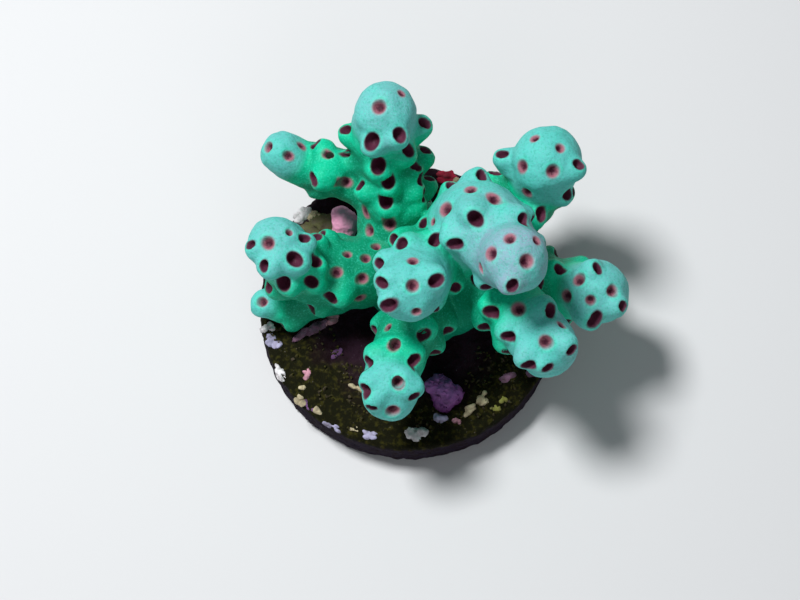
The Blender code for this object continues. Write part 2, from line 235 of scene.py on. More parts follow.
def disc_finish():
    material, tree, shader = finish_of("overgrown_disc", 0.85, Specular_IOR_Level=0.1)
    spot = node(tree, "ShaderNodeTexCoord", output=3)
    x, y, z = (axis * (1 / MM) for axis in axes_of(spot))
    reach = (x * x + y * y).math("SQRT")
    broad = grain(tree, spot, 0.28)
    fine = grain(tree, spot, 1.6, detail=4.0)
    crumbs = node(tree, "ShaderNodeTexVoronoi", {"Vector": spot, "Scale": 2.6 / MM})
    crust = mix(between(broad + fine * 0.5, 0.62, 0.92), CRUST_MAROON, CRUST_PLUM)
    turf = mix(between(fine, 0.48, 0.68), TURF_OLIVE, TURF_YELLOW)
    outer = between(reach + (broad - 0.5) * 9.0, 9.2, 12.2)
    front = outer * between(y * -1.0 + (fine - 0.5) * 6.0, -4.0, 1.5)
    colour = mix(front, crust, turf)
    speckled = between(crumbs, 0.16, 0.04) * between(fine, 0.5, 0.62)
    colour = mix(speckled * 0.6, colour, (0.28, 0.24, 0.26, 1))
    colour = mix(between(z, 4.6, 3.9), colour, mix(between(fine, 0.4, 0.7), SIDE_PURPLE, CRUST_MAROON))
    feed(shader, "Base Color", colour)
    bumps(shader, fine + grain(tree, spot, 5.0, detail=3.0) * 0.6, 0.7, 0.25)
    return material


plate = turned_disc()
weather_disc(plate)
disc = piece("disc_stone", plate)
smoothly(disc)
disc.data.materials.append(disc_finish())
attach(disc, "root")
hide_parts("frag_disc")

# Coralline crusts, bits of dead shell and grit have settled on the disc's top and rim: white and
# lavender lumps along the front edge, a mauve ridge on the left, and red and ochre crust behind.
# Each is a low, uneven lump of chalky growth fixed where it grew.
WHITE = (0.80, 0.78, 0.80)
LAVENDER = (0.42, 0.40, 0.58)
MAUVE = (0.24, 0.12, 0.20)
ROSE = (0.62, 0.30, 0.38)
BEIGE = (0.55, 0.47, 0.30)
LIME = (0.30, 0.30, 0.07)
OLIVE = (0.12, 0.12, 0.05)
RED = (0.50, 0.02, 0.06)
OCHRE = (0.36, 0.25, 0.05)
VIOLET = (0.16, 0.07, 0.20)
# Place in mm, half sizes across and up, turn in degrees, colour.
CRUSTS = [
    (-15.0, -2.6, 4.9, 0.8, 0.6, 0.55, 20, WHITE), (-14.4, -3.9, 4.9, 0.9, 0.8, 0.4, -30, LAVENDER),
    (-13.5, -7.3, 4.8, 0.6, 1.3, 0.45, 28, WHITE), (-11.3, -10.6, 4.8, 0.7, 0.5, 0.3, -45, BEIGE),
    (-10.6, -11.2, 4.7, 0.8, 0.5, 0.35, -40, VIOLET), (-9.2, -11.8, 4.8, 0.9, 0.5, 0.4, -35, BEIGE),
    (-7.9, -13.2, 4.6, 1.0, 0.4, 0.35, -30, LAVENDER), (-5.8, -13.6, 4.7, 0.7, 0.4, 0.35, -10, BEIGE),
    (-4.3, -14.2, 4.7, 1.0, 0.5, 0.4, -15, LAVENDER), (-10.8, -7.6, 4.9, 0.5, 0.6, 0.35, 0, ROSE),
    (-11.2, -9.0, 4.9, 0.4, 0.4, 0.3, 0, BEIGE), (-5.4, -9.2, 4.9, 0.9, 0.4, 0.4, -35, BEIGE),
    (-4.5, -9.7, 4.9, 0.4, 0.4, 0.3, 10, WHITE), (0.6, -14.1, 4.8, 1.1, 0.9, 0.75, -40, WHITE),
    (3.2, -12.6, 4.9, 0.8, 0.6, 0.5, 10, LAVENDER), (5.0, -12.8, 4.9, 0.5, 0.45, 0.45, 0, ROSE),
    (6.2, -11.6, 4.9, 0.8, 0.5, 0.35, 30, BEIGE), (7.7, -10.4, 4.9, 0.9, 0.7, 0.4, 40, BEIGE),
    (8.9, -11.2, 4.8, 0.6, 0.5, 0.35, 0, LIME), (9.8, -10.3, 4.8, 0.5, 0.5, 0.3, 0, LIME),
    (10.4, -8.2, 4.9, 1.1, 0.7, 0.45, 25, MAUVE), (12.6, -7.6, 4.8, 0.9, 0.7, 0.4, 45, MAUVE),
    (-10.4, -3.0, 4.95, 1.9, 0.6, 0.65, 38, MAUVE), (-8.7, -2.0, 4.95, 1.0, 0.6, 0.5, 20, ROSE),
    (-11.6, 9.9, 4.9, 1.1, 0.8, 0.6, 50, WHITE), (-11.1, 8.4, 4.9, 0.7, 0.6, 0.45, 0, ROSE),
    (-9.6, 8.6, 4.9, 1.7, 1.6, 0.6, 30, OLIVE), (-9.3, 7.4, 4.95, 0.8, 0.7, 0.6, 30, BEIGE),
    (-10.3, 9.6, 4.9, 0.9, 0.6, 0.5, 30, BEIGE), (3.9, 14.4, 4.9, 1.5, 0.8, 0.7, -15, RED),
    (4.5, 12.8, 4.9, 1.3, 1.1, 0.7, 0, OCHRE), (4.7, 13.4, 5.0, 0.7, 0.7, 0.8, 0, BEIGE),
    (13.6, 3.6, 4.8, 0.5, 2.4, 0.35, -12, MAUVE), (13.1, -6.6, 4.8, 0.6, 1.0, 0.3, -30, VIOLET),
    (-13.6, 5.6, 4.8, 0.7, 1.2, 0.4, -20, MAUVE), (-2.0, 14.6, 4.8, 1.6, 0.7, 0.4, 5, VIOLET),
    (10.6, 10.4, 4.8, 1.2, 0.7, 0.4, -45, MAUVE), (-7.6, -5.4, 4.9, 0.8, 0.5, 0.25, 15, VIOLET),
]


def lump(bm, layer, place, long, wide, tall, colour):
    """One uneven lump of crust, its colour a little mottled."""
    shape = place @ Matrix.Diagonal((long, wide, tall, 1.0))
    ball = bmesh.ops.create_icosphere(bm, subdivisions=3, radius=MM, matrix=shape)
    for vert in ball["verts"]:
        away = (vert.co - shape.translation) / MM
        push = noise.noise(vert.co / MM * 1.9) + 0.5 * noise.noise(vert.co / MM * 4.2)
        vert.co = shape.translation + away * (1.0 + 0.5 * push) * MM
        spread = 0.85 + 0.6 * noise.noise(vert.co / MM * 1.3)
        vert[layer] = (*(tone * spread for tone in colour), 1.0)


def cluster(bm, layer, x, y, z, long, wide, tall, turn, colour):
    """A patch of crust: some lumps grown into one another."""
    place = Matrix.Translation(Vector((x, y, z)) * MM) @ Matrix.Rotation(math.radians(turn), 4, "Z")
    for _ in range(4):
        off = Vector((chance.uniform(-0.6, 0.6) * long, chance.uniform(-0.6, 0.6) * wide, 0.0))
        share = chance.uniform(0.45, 0.8)
        tilt = Matrix.Rotation(chance.uniform(-0.5, 0.5), 4, "Y")
        lump(bm, layer, place @ Matrix.Translation(off * MM) @ tilt, long * share, wide * share,
             tall * chance.uniform(0.6, 1.0), colour)


def crust_finish(name, rough, dirt=0.45):
    """Chalky crust: the growth's own colour, mottled with dirt, with a fine grain."""
    material, tree, shader = finish_of(name, rough, Specular_IOR_Level=0.15)
    spot = node(tree, "ShaderNodeTexCoord", output=3)
    growth = node(tree, "ShaderNodeAttribute", attribute_name="growth")
    mottle = grain(tree, spot, 1.4, detail=3.0)
    colour = mix(between(mottle, 0.42, 0.68) * dirt, growth, (0.10, 0.07, 0.07, 1))
    feed(shader, "Base Color", colour)
    bumps(shader, grain(tree, spot, 3.2, detail=4.0), 0.6, 0.2)
    return material


chance = np.random.default_rng(11)
grit = bmesh.new()
tint = grit.verts.layers.float_color.new("growth")
for crust in CRUSTS:
    cluster(grit, tint, *crust)
crusts = piece("disc_crusts", grit)
smoothly(crusts)
crusts.data.materials.append(crust_finish("chalky_crust", 0.7))
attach(crusts, "root")

# Short turf algae cover the front band of the disc as a mat of soft tufts, each a millimetre tall
# at most and rooted in the pitted top.
TUFTS = 520
TUFT_LEAN = 0.6
TUFT_GREEN = (0.008, 0.008, 0.001)
TUFT_TIP = (0.045, 0.041, 0.007)


def tuft(bm, layer, spot, tall, wide, lean):
    place = Matrix.Translation(spot * MM) @ lean
    cone = bmesh.ops.create_cone(bm, cap_ends=True, segments=5, radius1=wide * MM, radius2=wide * 0.35 * MM,
                                 depth=tall * MM, matrix=place)
    for vert in cone["verts"]:
        high = (vert.co.z / MM - spot.z) / tall + 0.5
        vert[layer] = (*(low + (top - low) * high for low, top in zip(TUFT_GREEN, TUFT_TIP)), 1.0)


dice = np.random.default_rng(7)
mat = bmesh.new()
tint = mat.verts.layers.float_color.new("growth")
for _ in range(TUFTS):
    turn = math.radians(dice.uniform(165, 372))
    reach = dice.uniform(8.6, 15.0)
    spot = Vector((reach * math.cos(turn), reach * math.sin(turn), DISC_THICK + 0.02))
    if noise.noise(spot * 0.5) < -0.12:
        continue
    lean = Matrix.Rotation(dice.uniform(-TUFT_LEAN, TUFT_LEAN), 4, "X")
    lean = lean @ Matrix.Rotation(dice.uniform(-TUFT_LEAN, TUFT_LEAN), 4, "Y")
    tuft(mat, tint, spot, dice.uniform(0.35, 0.7), dice.uniform(0.14, 0.26), lean)
turf = piece("turf_tufts", mat)
smoothly(turf)
turf.data.materials.append(crust_finish("turf_algae", 0.8))
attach(turf, "root")

# Two bigger knobs of coralline crust stand on the disc: a smooth pink and white one behind the
# left limb, and a knuckled purple one in front, each built up in layers by the growth itself.
PINK_KNOB = [(-6.9, 8.0, 6.0, 1.4), (-6.9, 8.6, 6.8, 1.5), (-7.3, 9.2, 7.2, 1.1)]
PURPLE_KNOB = [(3.4, -9.8, 6.0, 1.5), (2.4, -9.4, 6.4, 1.0), (4.5, -10.2, 6.0, 1.2), (3.0, -8.9, 6.5, 0.9),
               (3.6, -10.9, 5.6, 1.2)]
PINK_TONES = ((0.95, 0.48, 0.66), (0.95, 0.36, 0.60))
# The purple knob's own purple, darker at its foot and lighter on top: painted shade low down and a painted
# highlight on top.
PURPLE_TONES_SHADE_TO_HIGHLIGHT = ((0.10, 0.02, 0.12), (0.34, 0.13, 0.40))
KNOB_VOXEL = 0.12
KNOB_SINK = 0.15
SAW_SPAN = 60


def bead_mesh(fine):
    """A ball of radius 1 mm, copied for each bead of that fineness."""
    ball = bmesh.new()
    bmesh.ops.create_icosphere(ball, subdivisions=fine, radius=MM)
    mesh = bpy.data.meshes.new("bead")
    ball.to_mesh(mesh)
    ball.free()
    return mesh


BALLS = {fine: bead_mesh(fine) for fine in (3, 4)}


def bead(bm, centre, radius, fine=3, shape=None):
    """One round bead of growth. Beads overlap and are fused into one skin later."""
    ball = BALLS[fine].copy()
    ball.transform(Matrix.Translation(Vector(centre) * MM) @ (shape or Matrix.Scale(radius, 4)))
    bm.from_mesh(ball)
    bpy.data.meshes.remove(ball)


def bake(item):
    """Turns the object's modifiers into its mesh."""
    graph = bpy.context.evaluated_depsgraph_get()
    graph.update()
    mesh = bpy.data.meshes.new_from_object(item.evaluated_get(graph))
    item.modifiers.clear()
    item.data = mesh


def fuse(item, voxel, passes):
    """Fuses overlapping beads into one skin and softens it."""
    skin = item.modifiers.new("Fuse", "REMESH")
    skin.mode = "VOXEL"
    skin.voxel_size = voxel * MM
    soften = item.modifiers.new("Soften", "SMOOTH")
    soften.factor = 0.5
    soften.iterations = passes
    bake(item)


def subtract(item, cutter):
    cut = item.modifiers.new("Cut", "BOOLEAN")
    cut.operation = "DIFFERENCE"
    cut.object = cutter
    cut.solver = "MANIFOLD"
    bake(item)
    bpy.data.objects.remove(cutter, do_unlink=True)


def saw_box(item, centre, normal, size):
    bm = bmesh.new()
    turn = Vector(normal).to_track_quat("Y", "Z").to_matrix().to_4x4()
    place = Matrix.Translation(Vector(centre) * MM) @ turn @ Matrix.Diagonal((*size, 1.0))
    bmesh.ops.create_cube(bm, size=MM, matrix=place)
    subtract(item, piece("saw", bm))


def knob(name, node_name, beads, tones, rough_mm):
    """A knob of crust: fused beads, roughened, tinted from its foot to its top."""
    bm = bmesh.new()
    for x, y, z, radius in beads:
        bead(bm, (x, y, z), radius * 0.97)
    item = piece(name, bm)
    fuse(item, KNOB_VOXEL, 3)
    saw_box(item, (0, 0, 0), (0, 1, 0), (SAW_SPAN, SAW_SPAN, 2 * (DISC_THICK - KNOB_SINK)))
    low = min(z for _, _, z, _ in beads)
    high = max(z + radius for _, _, z, radius in beads)
    colours = item.data.attributes.new("growth", "FLOAT_COLOR", "POINT")
    for vert, colour in zip(item.data.vertices, colours.data):
        spot = vert.co / MM
        ridge = noise.noise(spot * 1.1) + 0.5 * noise.noise(spot * 2.9)
        vert.co += vert.normal * rough_mm * (ridge - 0.35) * MM
        # From foot to top the tint climbs between the two tones; on the purple knob this lays painted shade
        # on the foot and a painted highlight on the top.
        share = max(0.0, min(1.0, (spot.z - low) / (high - low) + 0.5 * noise.noise(spot * 0.8)))
        colour.color = (*Vector(tones[0]).lerp(Vector(tones[1]), share), 1.0)
    smoothly(item)
    item.data.materials.clear()
    item.data.materials.append(crust_finish(name + "_crust", 0.5, 0.2))
    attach(item, "root")
    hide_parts(node_name)


knob("pink_growth", "pink_knob", PINK_KNOB, PINK_TONES, 0.12)
knob("purple_growth", "purple_knob", PURPLE_KNOB, PURPLE_TONES_SHADE_TO_HIGHLIGHT, 0.3)

# The colony starts as an encrusting foot of living coral that spreads over the disc and rises
# into a stout, short trunk of aragonite skeleton under a thin skin. All limbs fork from it.
TRUNK_BEADS = [(0.6, 3.6, 8.6, 4.3), (3.4, 2.6, 8.8, 4.5), (1.2, 5.6, 8.2, 3.8), (4.6, 4.2, 8.2, 3.8)]
FOOT_BEADS = [
    (0.8, 3.2, 5.4, 5.6), (3.6, 1.6, 5.4, 5.2), (-1.2, 5.2, 5.2, 3.8), (4.2, 5.2, 5.2, 4.8),
    (1.4, -0.4, 5.0, 4.4),
]
SWELL = 0.06
FOOT_SINK = 0.2

colony = bmesh.new()
for x, y, z, radius in TRUNK_BEADS + FOOT_BEADS:
    bead(colony, (x, y, z), radius + SWELL, 4)

# The back limb is the tall one behind the trunk, and a thinner one forks off it to the left. Each
# is a round branch that ends in a dome with its axial mouth, and carries cup mouths on its sides.
# A limb's stops run from the trunk to the middle of its tip: x, y, z and radius.
# A mouth is given as seen from in front of straight above: right, up, radius, lip.
SIGHT_TILT = math.radians(72.0)
TOWARD = Vector((0.0, -math.cos(SIGHT_TILT), math.sin(SIGHT_TILT)))
WALL = 0.72
RIM = 0.42
LEAN = 0.9
SAG = 0.4
SPREAD = 0.75
FLUSH = 0.65
LIMBS = {}
MOUTHS = []


def smooth_route(stops, steps=9):
    """Catmull-Rom line through the stops, as (centre, radius) pairs."""
    stops = [Vector(stop) for stop in stops]
    ends = [stops[0] * 2 - stops[1], *stops, stops[-1] * 2 - stops[-2]]
    line = []
    for a, b, c, d in zip(ends, ends[1:], ends[2:], ends[3:]):
        for step in range(steps):
            t = step / steps
            line.append(0.5 * (b * 2 + (c - a) * t + (a * 2 - b * 5 + c * 4 - d) * t * t
                               + (b * 3 - a - c * 3 + d) * t * t * t))
    line.append(stops[-1])
    return [(point.to_3d(), point.w) for point in line]


def tangent(line, index):
    low = max(index - 1, 0)
    high = min(index + 1, len(line) - 1)
    return (line[high][0] - line[low][0]).normalized()


def open_mouth(line, right, up, radius, lip):
    """Where a mouth seen from the front opens: its opening, skin normal, tip direction, sizes."""
    start = Vector((right, up * math.sin(SIGHT_TILT), up * math.cos(SIGHT_TILT)))
    best = None
    nearest = None
    for index, (centre, reach) in enumerate(line):
        offset = centre - start
        along = offset.dot(TOWARD)
        aside = (offset - TOWARD * along).length
        if aside < reach:
            height = along + math.sqrt(reach * reach - aside * aside)
            if best is None or height > best[0]:
                best = (height, index)
        if nearest is None or aside - reach < nearest[0]:
            nearest = (aside - reach, index, along)
    if best:
        spot = start + TOWARD * best[0]
        index = best[1]
        normal = (spot - line[index][0]).normalized()
        opening = spot + TOWARD * min(lip * 0.8 / max(normal.dot(TOWARD), 0.3), 1.6)
    else:
        gap, index, along = nearest
        spot = start + TOWARD * along
        normal = (spot - line[index][0]).normalized()
        opening = spot - normal * (gap - lip * 0.7)
    return opening, normal, tangent(line, index), radius, lip


def mouth_axis(normal, tip):
    return (normal * 0.75 + tip * LEAN * 0.75).normalized()


def mouth_frame(normal, tip):
    """A mouth's own axes: its y points towards the limb's tip, its z out of the mouth."""
    out = mouth_axis(normal, tip)
    up = (tip - out * tip.dot(out)).normalized()
    return Matrix((up.cross(out), up, out))


def mound(opening, normal, tip, radius, lip):
    """Short cup that leans toward the limb's tip, thicker where it leaves the limb."""
    MOUTHS.append((opening, normal, tip, radius, lip))
    if lip < FLUSH:
        return
    axis = mouth_axis(normal, tip)
    foot = opening - normal * (lip + 1.1) - tip * (0.6 + 0.8 * lip)
    crown = opening - axis * math.sqrt((radius + WALL) ** 2 - (radius + RIM) ** 2) - tip * SAG
    wall = WALL + 0.22 * noise.noise(opening * 1.7)
    for step in range(6):
        share = step / 5
        bead(colony, foot.lerp(crown, share), radius + wall + SPREAD * (1 - share) + SWELL)


def grow_limb(name, stops, mouths):
    line = LIMBS[name] = smooth_route(stops)
    for centre, radius in line:
        bead(colony, centre, radius + SWELL, 4)
    for mouth in mouths:
        mound(*open_mouth(line, *mouth))


grow_limb("back_limb", [
    (-1.5, 5.0, 7.5, 4.0), (-2.0, 9.0, 11.5, 3.4), (-2.6, 12.8, 16.5, 3.4), (-2.5, 14.3, 23.0, 3.1),
], [
    (-3.1, 21.1, 0.70, 0.3), (-0.9, 18.1, 0.65, 1.0), (-3.9, 17.5, 0.75, 1.7), (1.1, 19.8, 0.60, 1.6),
    (-6.6, 19.3, 0.50, 1.3), (-6.6, 17.1, 0.50, 0.9), (-0.6, 22.9, 0.45, 0.6), (-0.1, 16.9, 0.60, 1.5),
    (1.6, 17.4, 0.50, 1.5), (0.8, 15.7, 0.60, 1.6), (1.9, 14.6, 0.50, 1.6), (-3.2, 15.3, 0.75, 1.6),
    (-2.2, 13.9, 0.70, 1.0), (0.9, 14.0, 0.50, 1.1), (-5.2, 13.6, 0.45, 0.9), (-2.4, 11.9, 0.70, 0.7),
    (1.1, 12.4, 0.50, 1.1), (-5.2, 11.4, 0.50, 0.6), (-2.1, 9.9, 0.65, 0.4), (-4.4, 9.3, 0.55, 0.4),
])
grow_limb("back_left_limb", [
    (-2.4, 9.5, 11.5, 2.6), (-6.8, 11.6, 12.8, 2.5), (-11.1, 12.5, 13.9, 2.4), (-13.1, 12.9, 15.6, 2.2),
], [
    (-14.7, 17.7, 0.55, 0.3), (-12.5, 16.7, 0.50, 0.4), (-11.1, 18.3, 0.45, 0.5), (-9.8, 14.2, 0.65, 1.6),
    (-9.6, 18.2, 0.50, 1.2), (-8.1, 16.5, 0.50, 0.5), (-6.9, 14.1, 0.55, 0.5),
])

# The left limb leans out low over the disc and turns up at its end, with deep nest-like cups under
# its dome. A short stub forks off beneath it, over the disc's rim, still only just budding.
grow_limb("left_limb", [
    (-1.5, 3.5, 7.5, 4.0), (-6.2, 1.8, 10.0, 3.6), (-11.0, 1.2, 13.0, 3.2), (-13.4, 2.0, 18.0, 2.9),
], [
    (-14.2, 7.7, 0.65, 0.3), (-11.3, 5.9, 0.70, 1.1), (-14.5, 5.2, 0.50, 1.0), (-12.6, 3.6, 0.75, 1.8),
    (-9.8, 3.7, 0.60, 1.2), (-9.4, 5.8, 0.60, 1.0), (-10.4, 8.2, 0.50, 1.4), (-16.2, 7.5, 0.45, 0.9),
    (-12.0, 8.8, 0.35, 0.2), (-7.5, 4.8, 0.55, 0.3), (-7.9, 2.1, 0.60, 0.7), (-6.5, 6.8, 0.40, 0.3),
    (-4.6, 6.3, 0.45, 0.2), (-4.9, 4.1, 0.55, 0.3), (-3.6, 7.6, 0.40, 0.2), (-5.4, 1.7, 0.45, 0.6),
])
grow_limb("low_left_limb", [
    (-8.0, 0.2, 8.6, 2.5), (-12.5, -0.9, 7.7, 1.9), (-15.2, -1.2, 8.8, 1.4),
], [
    (-15.4, 1.8, 0.50, 0.2), (-13.2, -0.4, 0.40, 0.8),
])

# Two thick limbs stand on the trunk and lean forward side by side. The right one reaches highest
# and its growing tip is the palest and most lilac of all.
grow_limb("mid_left_limb", [
    (3.0, 3.0, 8.0, 4.2), (2.6, 2.4, 13.5, 3.6), (1.4, 0.0, 17.6, 3.4), (-0.1, -4.1, 22.7, 3.25),
], [
    (0.2, 3.3, 0.60, 0.2), (0.2, 6.0, 0.55, 0.4), (-3.0, 3.7, 0.55, 0.8), (-2.4, 1.2, 0.70, 1.0),
    (0.6, 0.5, 0.50, 0.5), (2.7, 3.9, 0.65, 0.8), (2.5, 8.0, 0.60, 0.8), (-0.8, 7.6, 0.60, 1.0),
    (-2.7, 5.4, 0.50, 0.9), (1.4, 9.7, 0.50, 1.0), (2.7, 1.0, 0.50, 1.0),
])
grow_limb("mid_right_limb", [
    (4.0, 3.0, 8.0, 4.6), (5.4, 4.2, 15.0, 4.3), (7.0, 3.4, 20.6, 4.2), (9.4, -0.6, 23.2, 3.5),
    (10.1, -2.6, 26.8, 3.2),
], [
    (11.1, 5.6, 0.70, 0.2), (7.4, 6.4, 0.70, 0.5), (9.4, 8.0, 0.60, 0.5), (4.2, 7.4, 0.65, 1.0),
    (3.3, 11.0, 0.75, 0.5), (6.2, 10.0, 0.70, 0.7), (8.4, 12.0, 0.70, 0.5), (6.0, 13.1, 0.60, 0.6),
    (7.0, 4.0, 0.70, 1.4), (11.0, 9.9, 0.55, 0.7), (12.3, 7.8, 0.50, 0.5), (9.6, 3.2, 0.55, 0.7),
    (2.0, 9.9, 0.40, 0.6), (13.1, 4.4, 0.50, 0.4),
])

# Three limbs fan out to the right: a tall one behind, a short low one at the side and one that
# leans over the front rim. They share a low fork and end in blunt, well-lit domes.
grow_limb("back_right_limb", [
    (5.5, 4.5, 8.5, 3.6), (9.6, 6.6, 11.6, 3.2), (12.8, 9.4, 15.6, 3.2), (13.8, 10.1, 20.5, 3.5),
], [
    (14.2, 14.7, 0.65, 0.2), (10.9, 15.3, 0.65, 0.5), (15.0, 17.2, 0.50, 0.4), (12.3, 18.4, 0.50, 0.6),
    (10.1, 16.5, 0.50, 1.8), (9.1, 14.8, 0.55, 1.4), (17.0, 15.4, 0.50, 0.7), (15.8, 12.6, 0.60, 1.6),
    (11.5, 12.5, 0.60, 0.6), (13.3, 10.5, 0.65, 1.3),
])
grow_limb("right_limb", [
    (6.5, 2.5, 7.8, 3.4), (12.0, 2.0, 8.6, 2.7), (16.4, -0.1, 10.2, 2.9), (19.1, -1.5, 13.6, 3.2),
], [
    (20.5, 2.9, 0.60, 0.3), (17.0, 4.1, 0.60, 0.4), (18.2, 1.9, 0.50, 0.3), (18.8, 5.3, 0.50, 0.7),
    (18.5, -0.2, 0.75, 1.5), (15.7, 2.3, 0.65, 0.5), (15.2, 5.2, 0.50, 1.0), (21.6, 1.2, 0.50, 0.9),
])
grow_limb("front_right_limb", [
    (5.0, 2.0, 7.8, 3.6), (9.2, -1.4, 12.6, 3.1), (12.3, -6.3, 16.4, 3.2), (13.5, -8.5, 17.8, 3.1),
], [
    (13.3, -2.2, 0.65, 0.3), (10.7, 1.1, 0.70, 0.5), (13.8, 1.1, 0.60, 0.8), (7.9, 0.7, 0.70, 1.2),
    (9.5, -1.7, 0.60, 1.4), (11.4, -4.6, 0.60, 0.9), (16.0, -2.9, 0.50, 1.1), (15.2, -0.4, 0.40, 0.6),
    (13.4, -5.0, 0.50, 0.8),
])

# One slimmer limb reaches forward and down over the disc, brighter green than the rest, with
# flush mouths along its back and cups on its flanks.
grow_limb("front_limb", [
    (2.0, 1.0, 7.5, 3.6), (0.3, -4.0, 11.5, 3.1), (-1.4, -9.0, 14.0, 2.8), (-2.0, -12.4, 14.8, 2.8),
], [
    (-1.7, -9.3, 0.70, 0.3), (-1.2, -6.1, 0.60, 0.3), (-1.5, -2.5, 0.60, 0.3), (-4.1, -4.1, 0.60, 1.1),
    (-4.5, -6.8, 0.60, 1.3), (0.5, -3.9, 0.60, 0.7), (1.5, -1.4, 0.60, 1.1), (-2.4, -0.8, 0.35, 0.3),
    (0.6, -7.6, 0.50, 0.7), (-4.0, -8.7, 0.45, 0.9),
])

# The skeleton carries mouths all round. On the sides turned away from the view they stand in
# staggered rows of cups, as on any limb of this coral.
ROW_STEP = 3.2
HIDDEN_RADIUS = 0.55
HIDDEN_LIP = 0.8
TIP_LIP = 0.3
LEAST_APART = 2.6
LOWEST_MOUTH = 7.4
ROW_SPACING = 3.5
FACES_SIGHT = 0.1
CLEAR_OF_LIMBS = 1.2


def depth_inside(point, skip):
    """How far a point lies inside the nearest other limb."""
    others = (line for name, line in LIMBS.items() if name != skip)
    return max(radius - (point - centre).length for line in others for centre, radius in line)


def rows_facing_away(name, taken):
    line = LIMBS[name]
    travelled = 0.0
    row = 0
    for index in range(len(line) - 1, 0, -1):
        centre, radius = line[index]
        travelled += (line[index - 1][0] - centre).length
        if travelled < ROW_STEP * (row + 0.35):
            continue
        row += 1
        tip = tangent(line, index)
        side = tip.orthogonal().normalized()
        count = max(4, round(2 * math.pi * radius / ROW_SPACING))
        for turn in range(count):
            normal = Matrix.Rotation(2 * math.pi * (turn + 0.5 * (row % 2)) / count, 3, tip) @ side
            spot = centre + normal * radius
            if normal.dot(TOWARD) > FACES_SIGHT or spot.z < LOWEST_MOUTH:
                continue
            if depth_inside(spot + normal * CLEAR_OF_LIMBS, name) > -CLEAR_OF_LIMBS:
                continue
            if any((spot - other).length < LEAST_APART for other in taken):
                continue
            taken.append(spot)
            lip = TIP_LIP if row == 1 else HIDDEN_LIP
            mound(spot + normal * (lip * 0.7), normal, tip, HIDDEN_RADIUS, lip)


taken = [opening - normal * lip * 0.7 for opening, normal, _, _, lip in MOUTHS]
for name in LIMBS:
    rows_facing_away(name, taken)

# One thin skin of living tissue covers trunk and limbs: teal green, paler and lilac on the growing
# tips, maroon in the mouths, and finely grained by the skeleton's spinules under it. Light is painted
# into it too: painted shade low down, between the cups and in the mouths and cups, a painted
# highlight on the cup rims, and a faint painted glow for the tissue's fluorescence. The colony is
# parted at its forks, so that each limb is a piece of its own, and nothing of that shows.
SKIN_VOXEL = 0.155
FLUSH_WIDE = 1.12
FLUSH_DEEP = 0.95
FLUSH_EDGE = 0.72
FLUSH_FADE = 0.6
CUP_DEEP = 1.35
NEST_WIDE = 0.95
NEST_LONG = 1.2
NEST_SHIFT = 0.25
NEST_EDGE = 0.95
NEST_FADE = 0.35
SWELLINGS = ((0.20, 0.5), (0.09, 1.2))
SHADE_FROM = 17.0
SHADE_FULL = 8.0
TRUNK = "trunk"
# For each limb: the share of its length where it leaves the trunk, the shares where its young,
# pale end begins and is palest, and how lilac that end is.
ENDS = {
    "back_limb": (0.66, 0.72, 1.0, 0.35),
    "back_left_limb": (0.60, 0.5, 1.1, 0.2),
    "left_limb": (0.40, 0.78, 1.0, 0.3),
    "low_left_limb": (0.50, 0.4, 1.2, 0.1),
    "mid_left_limb": (0.53, 0.55, 0.95, 0.15),
    "mid_right_limb": (0.37, 0.1, 0.55, 1.0),
    "back_right_limb": (0.58, 0.6, 0.95, 0.1),
    "right_limb": (0.60, 0.55, 1.1, 0.25),
    "front_right_limb": (0.56, 0.3, 0.95, 0.35),
    "front_limb": (0.50, 0.5, 1.05, 0.1),
}

SKIN_GREEN = (0.001, 0.45, 0.25, 1)
# Dark green: painted shade low down and between the cups, and also the skin's own dark flecks.
SKIN_SHADE_AND_FLECK = (0.001, 0.23, 0.12, 1)
SKIN_TIP = (0.085, 0.47, 0.43, 1)
SKIN_LILAC = (0.21, 0.33, 0.41, 1)
# Bright green of the cup rims: partly the thin rim tissue's own colour, partly a painted highlight.
LIP_HIGHLIGHT_GREEN = (0.02, 0.66, 0.42, 1)
SPINULE = (0.07, 0.70, 0.52, 1)
MOUTH_MAROON = (0.045, 0.006, 0.018, 1)
MOUTH_PINK = (0.30, 0.115, 0.150, 1)
# Darker copy of the mouth flesh for the cups, which lie in shade: painted shade.
MOUTH_WINE_SHADED = (0.085, 0.020, 0.042, 1)


def points_of(item):
    flat = np.empty(len(item.data.vertices) * 3, np.float32)
    item.data.vertices.foreach_get("co", flat)
    return flat.reshape(-1, 3) / MM


def place_points(item, points):
    item.data.vertices.foreach_set("co", (points * MM).astype(np.float32).ravel())
    item.data.update()


def outer_shell(item):
    """Keeps the skin itself and drops the small hollows that fusing leaves inside."""
    before = set(bpy.data.objects)
    for other in bpy.context.selected_objects:
        other.select_set(False)
    item.select_set(True)
    bpy.context.view_layer.objects.active = item
    bpy.ops.mesh.separate(type="LOOSE")
    shells = [item, *(set(bpy.data.objects) - before)]
    whole = max(shells, key=lambda shell: len(shell.data.vertices))
    for shell in shells:
        if shell != whole:
            bpy.data.objects.remove(shell, do_unlink=True)
    return whole


def undulate(item):
    """Low swellings all over, as the skeleton thickens unevenly."""
    points = points_of(item)
    out = np.empty(points.size, np.float32)
    item.data.vertices.foreach_get("normal", out)
    push = [sum(high * noise.noise(spot * often) for high, often in SWELLINGS)
            for spot in map(Vector, points)]
    place_points(item, points + out.reshape(-1, 3) * np.array(push, np.float32)[:, None])


